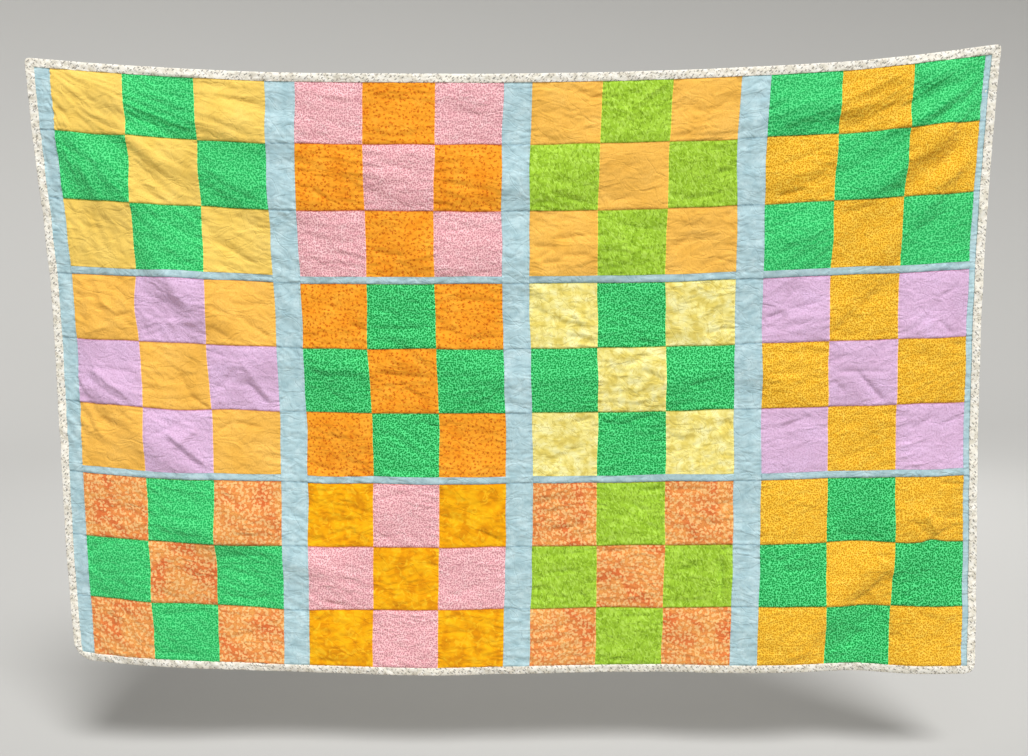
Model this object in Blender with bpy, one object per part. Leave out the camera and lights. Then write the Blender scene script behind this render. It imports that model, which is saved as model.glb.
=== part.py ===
"""Nine-patch crib quilt that hangs from its two top corners.

Metres, +Z up. The patchwork faces -Y and its left edge is at -X, as seen from the front.
The origin is the middle of the top edge. Every point is first a place on the flat quilt,
(across, down) from its top left corner, and hang() then says where that place hangs.
"""
import math
from collections import namedtuple

import bmesh
import bpy
from mathutils import Vector

# Patchwork, as cut and sewn
BLOCKS_ACROSS = 4
BLOCKS_DOWN = 3
PATCHES = 3                  # a block is 3 by 3 patches
PATCH_WIDTH = 0.1016         # a 4 inch finished patch
PATCH_HEIGHT = 0.0962
END_ROW_HEIGHT = 0.0890      # the binding's seam takes a little of the top and bottom rows
SASH = 0.0410                # upright strips between blocks
CROSS_SASH = 0.0108          # narrow strips between rows of blocks
LEFT_SASH = 0.0220
RIGHT_SASH = 0.0090
BINDING_WIDTH = 0.0130

# Thickness
SEAM_THICKNESS = 0.0030      # the sandwich where it is sewn down
PATCH_CROWN = 0.0027         # how far a patch swells past a seam, on each face
SASH_CROWN = 0.0010
BINDING_CLOTH = 0.0012       # two layers of folded cotton
NOSE = 0.0016                # how soon the binding is full thickness, from its fold
GAP = 0.00035                # between the binding and the sandwich
MITRE_GAP = 0.00025
MITRE_REACH = 0.034          # a strip's ends are drawn to the mitre over this length

# Grid steps
PATCH_STEPS = 4
SASH_STEPS = 2

# How it hangs: x of the side edges, and how far the middle is off the even spacing between them
Level = namedtuple("Level", "down left shift right")
LEVELS = (
    Level(0.00, -0.704, 0.002, 0.702),
    Level(0.15, -0.694, -0.003, 0.694),
    Level(0.35, -0.679, -0.007, 0.688),
    Level(0.60, -0.674, -0.005, 0.689),
    Level(0.80, -0.671, -0.010, 0.694),
    Level(1.00, -0.663, -0.020, 0.698),
)

# Height of the top and bottom edges, and how far the hem stands out (+) or back (-)
Station = namedtuple("Station", "across top bottom hem")
STATIONS = (
    Station(0.00, 0.023, -0.868, -0.012),
    Station(0.10, 0.012, -0.876, 0.004),
    Station(0.25, 0.002, -0.888, -0.006),
    Station(0.40, 0.000, -0.891, 0.008),
    Station(0.50, 0.000, -0.890, 0.004),
    Station(0.65, 0.004, -0.889, -0.004),
    Station(0.78, 0.012, -0.886, 0.009),
    Station(0.87, 0.020, -0.886, -0.007),
    Station(0.94, 0.031, -0.888, 0.002),
    Station(1.00, 0.042, -0.890, -0.008),
)

# Main folds: soft ridges from (x0, z0) to (x1, z1), bowed down by sag; one with a fan is narrow at
# its start, where the corner gathers it
Fold = namedtuple("Fold", "name x0 z0 x1 z1 sag width height fan")
FOLDS = (
    Fold("left_brim", -0.690, 0.005, -0.250, -0.095, 0.020, 0.026, 0.008, True),
    Fold("left_second", -0.690, -0.010, -0.260, -0.205, 0.026, 0.028, 0.012, True),
    Fold("left_third", -0.690, -0.020, -0.400, -0.320, 0.012, 0.024, 0.008, True),
    Fold("left_broad", -0.690, -0.040, -0.330, -0.490, 0.014, 0.036, 0.015, True),
    Fold("left_low", -0.650, -0.420, -0.330, -0.700, 0.006, 0.030, 0.009, False),
    Fold("right_brim", 0.685, 0.020, 0.300, -0.070, 0.022, 0.024, 0.008, True),
    Fold("right_second", 0.685, 0.005, 0.330, -0.170, 0.020, 0.022, 0.009, True),
    Fold("right_broad", 0.690, -0.010, 0.330, -0.320, 0.012, 0.040, 0.018, True),
    Fold("right_fourth", 0.680, -0.080, 0.400, -0.440, 0.010, 0.026, 0.009, True),
    Fold("right_low", 0.660, -0.620, 0.400, -0.860, 0.004, 0.030, 0.010, False),
    Fold("crease_left", -0.330, -0.428, -0.050, -0.434, 0.006, 0.022, 0.009, False),
    Fold("crease_middle", -0.150, -0.432, 0.380, -0.442, 0.006, 0.024, 0.012, False),
    Fold("crease_right", 0.300, -0.440, 0.670, -0.420, 0.004, 0.022, 0.007, False),
    Fold("left_swag", -0.320, -0.090, 0.260, -0.100, 0.070, 0.034, 0.007, False),
    Fold("right_swag", -0.220, -0.240, 0.340, -0.170, 0.070, 0.034, 0.007, False),
    Fold("low_left", -0.540, -0.640, -0.230, -0.740, 0.004, 0.028, 0.009, False),
)
ABOVE = 1.5                  # a ridge is wider and gentler on its upper side
BELOW = 0.8                  # and steeper below, where it hangs over
FAN_START = 0.4              # share of its width that a fanned ridge has at its start
FAN_GROWTH = 0.8             # and how much it has gained by its end
FADE_IN = 0.22               # shares of its length over which a ridge rises
FADE_OUT = 0.30              # and dies away
BELLY = 0.010                # the middle leans back from the straight top edge

# Where the outline is rounded: a sharp corner at each end of the top, soft ones below
Corner = namedtuple("Corner", "right low radius")
CORNERS = (
    Corner(False, False, 0.008),
    Corner(True, False, 0.008),
    Corner(False, True, 0.030),
    Corner(True, True, 0.018),
)

# Fabrics: linear colours
COTTON_ROUGHNESS = 0.9
Fabric = namedtuple("Fabric", "name colour")
FABRICS = (
    Fabric("blue", (0.47, 0.65, 0.70)),
    Fabric("butter", (0.91, 0.63, 0.14)),
    Fabric("green", (0.055, 0.54, 0.15)),
    Fabric("pink", (0.88, 0.46, 0.48)),
    Fabric("orange", (0.95, 0.35, 0.025)),
    Fabric("apricot", (0.95, 0.53, 0.10)),
    Fabric("lime", (0.37, 0.60, 0.04)),
    Fabric("mustard", (0.90, 0.50, 0.045)),
    Fabric("lilac", (0.72, 0.48, 0.68)),
    Fabric("lemon", (0.89, 0.77, 0.25)),
    Fabric("floral", (0.83, 0.36, 0.11)),
    Fabric("amber", (0.93, 0.44, 0.006)),
)
CREAM = (0.80, 0.75, 0.64)

# The fabric of each block's corners and centre, then of its four side patches
BLOCKS = (
    (("butter", "green"), ("pink", "orange"), ("apricot", "lime"), ("green", "mustard")),
    (("apricot", "lilac"), ("orange", "green"), ("lemon", "green"), ("lilac", "mustard")),
    (("floral", "green"), ("amber", "pink"), ("floral", "lime"), ("mustard", "green")),
)

CORE_INSET = BINDING_CLOTH + GAP    # the sandwich stops this far inside the binding's fold
WIDTH = (
    BLOCKS_ACROSS * PATCHES * PATCH_WIDTH + (BLOCKS_ACROSS - 1) * SASH
    + LEFT_SASH + RIGHT_SASH + 2 * BINDING_WIDTH
)
HEIGHT = (
    (BLOCKS_DOWN * PATCHES - 2) * PATCH_HEIGHT + 2 * END_ROW_HEIGHT
    + (BLOCKS_DOWN - 1) * CROSS_SASH + 2 * BINDING_WIDTH
)

Strip = namedtuple("Strip", "length steps crown patch")
Line = namedtuple("Line", "at swell")


def strips_across():
    """The strips and patches from the left edge to the right one; patch is None on a strip."""
    edge = Strip(BINDING_WIDTH - CORE_INSET, 1, 0.0, None)
    strips = [edge, Strip(LEFT_SASH, SASH_STEPS, SASH_CROWN, None)]
    for block in range(BLOCKS_ACROSS):
        if block:
            strips.append(Strip(SASH, SASH_STEPS, SASH_CROWN, None))
        for patch in range(PATCHES):
            strips.append(Strip(PATCH_WIDTH, PATCH_STEPS, PATCH_CROWN, (block, patch)))
    return strips + [Strip(RIGHT_SASH, 1, 0.0, None), edge]


def strips_down():
    """The same from the top edge to the bottom one."""
    edge = Strip(BINDING_WIDTH - CORE_INSET, 1, 0.0, None)
    strips = [edge]
    for block in range(BLOCKS_DOWN):
        if block:
            strips.append(Strip(CROSS_SASH, 1, 0.0, None))
        for patch in range(PATCHES):
            end = (block, patch) in ((0, 0), (BLOCKS_DOWN - 1, PATCHES - 1))
            height = END_ROW_HEIGHT if end else PATCH_HEIGHT
            strips.append(Strip(height, PATCH_STEPS, PATCH_CROWN, (block, patch)))
    return strips + [edge]


def grid_lines(strips):
    """The grid lines of a row of strips: place, and the share of a patch's crown it has there."""
    at = CORE_INSET
    lines = [Line(at, 0.0)]
    for strip in strips:
        for step in range(1, strip.steps + 1):
            share = step / strip.steps
            swell = math.sin(math.pi * share) * strip.crown / PATCH_CROWN
            lines.append(Line(at + strip.length * share, max(swell, 0.0)))
        at += strip.length
    return lines


def read(table, at, column):
    """A smooth curve through one column of a table, whose first column says how far along it is."""
    last = len(table) - 1
    k = max(row for row in range(last) if table[row][0] <= at or row == 0)
    here, there = table[k], table[k + 1]
    before, after = table[max(k - 1, 0)], table[min(k + 2, last)]
    value, other = getattr(here, column), getattr(there, column)
    span = there[0] - here[0]
    t = (at - here[0]) / span
    slope = (other - getattr(before, column)) / (there[0] - before[0]) * span
    other_slope = (getattr(after, column) - value) / (after[0] - here[0]) * span
    return (
        value * (1 - 3 * t * t + 2 * t ** 3) + other * (3 * t * t - 2 * t ** 3)
        + slope * (t - 2 * t * t + t ** 3) + other_slope * (t ** 3 - t * t)
    )


def ease(t):
    """0 to 1, with no corner at either end."""
    t = min(max(t, 0.0), 1.0)
    return t * t * (3 - 2 * t)


def ridge(fold, x, z):
    """How far one fold stands out at (x, z)."""
    along_x, along_z = fold.x1 - fold.x0, fold.z1 - fold.z0
    length = math.hypot(along_x, along_z)
    t = ((x - fold.x0) * along_x + (z - fold.z0) * along_z) / length ** 2
    if not 0.0 < t < 1.0:
        return 0.0
    line_z = fold.z0 + along_z * t - 4 * fold.sag * t * (1 - t)
    line_x = fold.x0 + along_x * t
    up = 1 if along_x > 0 else -1
    off = ((z - line_z) * along_x - (x - line_x) * along_z) / length * up
    width = fold.width * (ABOVE if off > 0 else BELOW)
    if fold.fan:
        width *= FAN_START + FAN_GROWTH * t
    rise = ease(t / FADE_IN) * ease((1 - t) / FADE_OUT)
    return fold.height * rise * math.exp(-(off / width) ** 2)


def hang(across, down):
    """Where a place on the flat quilt hangs: the middle of its thickness."""
    a, d = across / WIDTH, down / HEIGHT
    left, right = read(LEVELS, d, "left"), read(LEVELS, d, "right")
    x = left + a * (right - left) + 4 * a * (1 - a) * read(LEVELS, d, "shift")
    top, bottom = read(STATIONS, a, "top"), read(STATIONS, a, "bottom")
    z = top + d * (bottom - top)
    out = read(STATIONS, a, "hem") * ease(d) - BELLY * math.sin(math.pi * a) * ease(2 * d)
    out += sum(ridge(fold, x, z) for fold in FOLDS)
    return Vector((x, -out, z))


def rounded(across, down):
    """Draws a place near a corner of the outline in to the corner's arc."""
    for corner in CORNERS:
        from_side = WIDTH - across if corner.right else across
        from_end = HEIGHT - down if corner.low else down
        p, q = 1 - from_side / corner.radius, 1 - from_end / corner.radius
        if p > 0 and q > 0:
            from_side = corner.radius * (1 - p * math.sqrt(1 - q * q / 2))
            from_end = corner.radius * (1 - q * math.sqrt(1 - p * p / 2))
            across = WIDTH - from_side if corner.right else from_side
            down = HEIGHT - from_end if corner.low else from_end
    return across, down


ORIGIN = hang(WIDTH / 2, 0.0)
NEARBY = 0.004               # how far apart two places are that give the cloth's slope


def place(across, down, out):
    """A point that stands out from the middle of the thickness, square to the cloth."""
    across, down = rounded(across, down)
    run = hang(across + NEARBY, down) - hang(across - NEARBY, down)
    fall = hang(across, down + NEARBY) - hang(across, down - NEARBY)
    return hang(across, down) - ORIGIN + fall.cross(run).normalized() * out


def new_material(name, colour):
    """A plain cotton."""
    material = bpy.data.materials.new(name)
    material.use_nodes = True
    shader = material.node_tree.nodes["Principled BSDF"]
    shader.inputs["Base Color"].default_value = (*colour, 1.0)
    shader.inputs["Roughness"].default_value = COTTON_ROUGHNESS
    shader.inputs["Metallic"].default_value = 0.0
    return material


def new_object(name, bm, materials, collection):
    """Turns a finished bmesh into one named, smooth-shaded object."""
    bmesh.ops.recalc_face_normals(bm, faces=bm.faces)
    mesh = bpy.data.meshes.new(name)
    bm.to_mesh(mesh)
    bm.free()
    mesh.shade_smooth()
    for material in materials:
        mesh.materials.append(material)
    part = bpy.data.objects.new(name, mesh)
    collection.objects.link(part)
    return part


def fabric_of(strip_across, strip_down):
    """The number of the fabric at one cell of the patchwork; sashes have the first, blue."""
    if strip_across.patch is None or strip_down.patch is None:
        return 0
    (column, i), (row, j) = strip_across.patch, strip_down.patch
    name = BLOCKS[row][column][(i + j) % 2]
    return [fabric.name for fabric in FABRICS].index(name)


def add_body(collection):
    """The filled sandwich: a slab of grid cells, swollen in each patch and hung."""
    across, down = strips_across(), strips_down()
    columns, rows = grid_lines(across), grid_lines(down)
    cells_across = [strip for strip in across for _ in range(strip.steps)]
    cells_down = [strip for strip in down for _ in range(strip.steps)]

    bm = bmesh.new()
    bmesh.ops.create_grid(
        bm, x_segments=len(columns) - 1, y_segments=len(rows) - 1, size=0.5
    )
    for face in bm.faces:
        middle = face.calc_center_median()
        column = int((middle.x + 0.5) * len(cells_across))
        row = int((0.5 - middle.y) * len(cells_down))
        face.material_index = fabric_of(cells_across[column], cells_down[row])
    made = bmesh.ops.extrude_face_region(bm, geom=bm.faces[:], use_keep_orig=True)
    back = {vert for vert in made["geom"] if isinstance(vert, bmesh.types.BMVert)}
    for vert in bm.verts:
        column = columns[round((vert.co.x + 0.5) * (len(columns) - 1))]
        row = rows[round((0.5 - vert.co.y) * (len(rows) - 1))]
        half = SEAM_THICKNESS / 2 + PATCH_CROWN * column.swell * row.swell
        vert.co = place(column.at, row.at, -half if vert in back else half)
    materials = [new_material(fabric.name, fabric.colour) for fabric in FABRICS]
    return new_object("quilt_body", bm, materials, collection)


def binding_section():
    """The folded strip's section, right round: distance from the edge's fold, and side."""
    inner = SEAM_THICKNESS / 2 + GAP
    outer = inner + BINDING_CLOTH
    front = [(BINDING_WIDTH, inner), (BINDING_WIDTH, outer), (NOSE, outer), (0.0, 0.0)]
    back = [(NOSE, -outer), (BINDING_WIDTH, -outer), (BINDING_WIDTH, -inner)]
    return front + back + [(BINDING_CLOTH, -inner), (BINDING_CLOTH, inner)]


def mitred(along, inset, length):
    """Draws a strip's ends in, so that they meet the next strip's at 45 degrees."""
    from_end = min(along, length - along)
    draw = (inset + MITRE_GAP) * max(0.0, 1 - from_end / MITRE_REACH)
    return along + draw if along < length / 2 else along - draw


def add_binding(name, lines, length, locate, material, collection):
    """One strip: the section carried along the edge through the sandwich's own grid lines."""
    section = binding_section()
    stations = [0.0] + [line.at for line in lines[1:-1]] + [length]
    bm = bmesh.new()
    rings = []
    for along in stations:
        points = [locate(mitred(along, inset, length), inset, out) for inset, out in section]
        rings.append([bm.verts.new(point) for point in points])
    sides = len(section)
    for ring, following in zip(rings, rings[1:]):
        for k in range(sides):
            n = (k + 1) % sides
            bm.faces.new((ring[k], ring[n], following[n], following[k]))
    for ring in (rings[0], rings[-1]):
        bm.faces.new(ring)
    return new_object(name, bm, [material], collection)


def main():
    for old in list(bpy.data.objects):
        bpy.data.objects.remove(old, do_unlink=True)
    quilt = bpy.data.collections.new("nine_patch_quilt")
    bpy.context.scene.collection.children.link(quilt)

    add_body(quilt)
    columns, rows = grid_lines(strips_across()), grid_lines(strips_down())
    edges = (
        ("binding_top", columns, WIDTH, lambda s, e, out: place(s, e, out)),
        ("binding_bottom", columns, WIDTH, lambda s, e, out: place(s, HEIGHT - e, out)),
        ("binding_left", rows, HEIGHT, lambda s, e, out: place(e, s, out)),
        ("binding_right", rows, HEIGHT, lambda s, e, out: place(WIDTH - e, s, out)),
    )
    for name, lines, length, locate in edges:
        add_binding(name, lines, length, locate, new_material(name, CREAM), quilt)


main()
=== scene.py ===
import math

import bpy
import numpy as np
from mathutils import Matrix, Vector


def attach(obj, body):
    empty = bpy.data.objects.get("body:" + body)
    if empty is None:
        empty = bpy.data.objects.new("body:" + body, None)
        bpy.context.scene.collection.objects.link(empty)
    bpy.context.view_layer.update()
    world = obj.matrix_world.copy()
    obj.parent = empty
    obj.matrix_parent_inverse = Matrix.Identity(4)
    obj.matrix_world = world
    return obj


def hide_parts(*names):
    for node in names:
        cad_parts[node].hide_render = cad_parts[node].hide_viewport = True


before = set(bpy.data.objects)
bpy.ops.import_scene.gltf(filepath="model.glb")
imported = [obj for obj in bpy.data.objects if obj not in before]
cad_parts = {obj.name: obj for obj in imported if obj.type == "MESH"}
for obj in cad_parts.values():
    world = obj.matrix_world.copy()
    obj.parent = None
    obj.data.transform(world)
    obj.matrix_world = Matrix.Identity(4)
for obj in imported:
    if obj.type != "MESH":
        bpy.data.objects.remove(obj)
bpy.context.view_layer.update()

# Nine-patch crib quilt that hangs from its two top corners. Metres, +Z up, front towards -Y.
# Every point is first a place on the flat quilt, (across, down) from its top left corner.


def chart(names, *rows):
    # a short table, kept as one array for each named column
    return {name: np.array(values) for name, values in zip(names.split(), zip(*rows))}


quilt = {
    "blocksAcross": 4,
    "blocksDown": 3,
    "patches": 3,               # a block is 3 by 3 patches
    "patchWidth": 0.1016,       # a 4 inch finished patch
    "patchHeight": 0.0962,
    "endRow": 0.0890,           # the binding's seam takes a little of the end rows
    "sash": 0.0410,
    "crossSash": 0.0108,
    "leftSash": 0.0220,
    "rightSash": 0.0090,
    "rightSashCrown": 0.0003,
    "sashLimit": 0.05,          # a strip narrower than this is a sash or the binding
    "bindingWidth": 0.0130,
    "inset": 0.0019,            # the sandwich stops this far inside the binding's fold
    "seamHalf": 0.0013,         # half the thickness where it is sewn down
    "patchCrown": 0.0020,       # how far a patch swells past a seam
    "sashCrown": 0.0011,
    "pieceGap": 0.00012,        # half the gap between sewn neighbours
    "underside": 0.00025,       # half the gap between the top's pieces and the backing
}

# How it hangs: x of the side edges, and how far the middle is off the even spacing
levels = chart(
    "down left shift right",
    (0.00, -0.704, 0.002, 0.702),
    (0.15, -0.694, -0.003, 0.694),
    (0.35, -0.679, -0.007, 0.688),
    (0.60, -0.674, -0.005, 0.689),
    (0.80, -0.671, -0.010, 0.694),
    (1.00, -0.663, -0.020, 0.698),
)

# Height of the top and bottom edges, and how far the hem stands out (+) or back (-)
stations = chart(
    "across top bottom hem",
    (0.00, 0.023, -0.868, -0.012),
    (0.10, 0.012, -0.876, 0.004),
    (0.25, 0.002, -0.888, -0.006),
    (0.40, 0.000, -0.891, 0.008),
    (0.50, 0.000, -0.890, 0.004),
    (0.65, 0.004, -0.889, -0.004),
    (0.78, 0.012, -0.886, 0.009),
    (0.87, 0.020, -0.886, -0.007),
    (0.94, 0.031, -0.888, 0.002),
    (1.00, 0.042, -0.890, -0.008),
)

# Main folds: soft ridges, bowed down by sag. A fanned one is narrow where the corner gathers it;
# a crisp one has a sharp edge, as soft as that number, where the quilt was kept folded
folds = chart(
    "name x0 z0 x1 z1 sag width height fan crisp",
    ("leftBrim", -0.690, 0.005, -0.250, -0.095, 0.020, 0.026, 0.008, 1, 0),
    ("leftSecond", -0.690, -0.010, -0.260, -0.205, 0.026, 0.028, 0.0100, 1, 0),
    ("leftThird", -0.690, -0.020, -0.400, -0.320, 0.012, 0.024, 0.0065, 1, 0),
    ("leftBroad", -0.690, -0.040, -0.330, -0.490, 0.014, 0.036, 0.0100, 1, 0),
    ("leftLow", -0.650, -0.420, -0.330, -0.700, 0.006, 0.030, 0.009, 0, 0),
    ("rightBrim", 0.685, 0.020, 0.300, -0.070, 0.022, 0.024, 0.008, 1, 0),
    ("rightSecond", 0.685, 0.005, 0.330, -0.170, 0.020, 0.022, 0.009, 1, 0),
    ("rightBroad", 0.690, -0.010, 0.330, -0.320, 0.012, 0.038, 0.0100, 1, 0),
    ("rightFourth", 0.680, -0.080, 0.400, -0.440, 0.010, 0.026, 0.0075, 1, 0),
    ("rightLow", 0.660, -0.620, 0.400, -0.860, 0.004, 0.030, 0.008, 0, 0),
    ("creaseLeft", -0.330, -0.426, -0.050, -0.432, 0.006, 0.032, 0.0060, 0, 0.0035),
    ("creaseMiddle", -0.150, -0.430, 0.390, -0.440, 0.006, 0.042, 0.0095, 0, 0.0035),
    ("creaseRight", 0.300, -0.440, 0.670, -0.424, 0.004, 0.032, 0.0050, 0, 0.0035),
    ("leftSwag", -0.320, -0.090, 0.260, -0.100, 0.070, 0.034, 0.007, 0, 0),
    ("rightSwag", -0.220, -0.240, 0.340, -0.170, 0.070, 0.034, 0.007, 0, 0),
    ("lowLeft", -0.540, -0.640, -0.230, -0.740, 0.004, 0.028, 0.009, 0, 0),
)

drape = {
    "above": 1.5,               # a ridge is wider and gentler on its upper side
    "below": 0.8,               # and steeper below, where it hangs over
    "fanStart": 0.4,            # share of its width that a fanned ridge has at its start
    "fanGrowth": 0.8,
    "fadeIn": 0.22,             # shares of its length over which a ridge rises
    "fadeOut": 0.30,            # and dies away
    "belly": 0.010,             # the middle leans back from the straight top edge
    "stray": 0.0075,            # how far a fold's line strays, and the length it strays over
    "strayLength": 0.070,
    "evenness": 0.85,           # a fold's height comes and goes along it
    "unevenness": 0.75,
    "unevenLengths": (0.11, 0.09),
    "nearby": 0.004,            # how far apart two places are that give the cloth's slope
}

# Where the outline is rounded: a sharp corner at each end of the top, soft ones below
cornerArcs = chart(
    "right low radius",
    (0, 0, 0.008),
    (1, 0, 0.008),
    (0, 1, 0.030),
    (1, 1, 0.018),
)

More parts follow.
